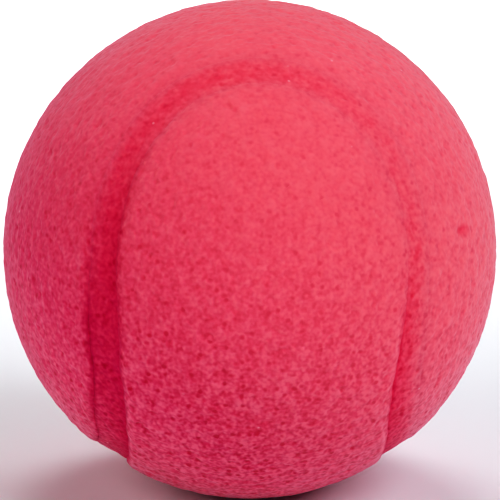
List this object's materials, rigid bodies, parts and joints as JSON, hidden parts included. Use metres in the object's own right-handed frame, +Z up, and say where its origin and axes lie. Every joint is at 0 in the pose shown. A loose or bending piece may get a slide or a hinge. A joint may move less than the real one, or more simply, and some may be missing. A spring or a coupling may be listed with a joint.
{
  "type": "foam ball",
  "caption": "Soft round foam play ball with a wavy tennis-style seam groove pressed between interlocking foam cover panels.",
  "frame": {"origin": "centre of the ball", "axes": "+Z up, away from the flattened patch that the ball rests on; -Y towards the side that the picture shows, where one panel's round end faces; +X to the right in the picture"},
  "size_m": [0.0692, 0.0692, 0.0697],
  "materials": {
    "core_foam": "matte",
    "panel_foam": "matte",
    "pressed_foam": "matte"
  },
  "bodies": {
    "root": {"foam_core": "core_foam", "cover_panel_front_back": "panel_foam", "cover_panel_left_right": "panel_foam", "seam_strip": "pressed_foam"}
  },
  "joints": []
}
